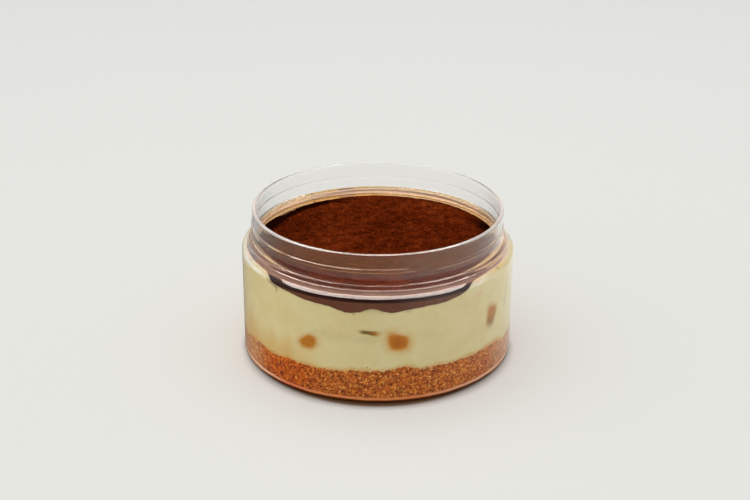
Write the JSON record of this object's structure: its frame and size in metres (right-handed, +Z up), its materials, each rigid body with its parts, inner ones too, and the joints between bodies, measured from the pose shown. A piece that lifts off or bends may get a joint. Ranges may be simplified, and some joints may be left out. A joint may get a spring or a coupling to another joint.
{
  "type": "tiramisu in a clear jar",
  "caption": "Tiramisu in an open clear jar with a screw neck: crumb base, cream with biscuit pieces at the wall, cocoa on top.",
  "frame": {"origin": "centre of the jar's underside, in the plane that it stands on", "axes": "+Z up along the jar's axis; -Y is the front, where the cocoa shows under the shoulder; +X is to the right seen from the front"},
  "size_m": [0.085, 0.085, 0.0463],
  "materials": {
    "clear_plastic": "clear polished PET",
    "crumb": "moist biscuit crumbs",
    "cream": "smooth pale yellow mascarpone cream",
    "cocoa": "loose cocoa powder, smooth and dark where it is pressed against the wall",
    "biscuit": "soaked sponge biscuit"
  },
  "bodies": {
    "root": {"jar": "clear_plastic", "crumb_base": "crumb", "cream": "cream", "cocoa_layer": "cocoa", "biscuit_left": "biscuit", "biscuit_centre": "biscuit", "biscuit_sliver": "biscuit", "biscuit_right": "biscuit", "biscuit_back_left": "biscuit", "biscuit_back": "biscuit", "biscuit_side": "biscuit"}
  },
  "joints": []
}
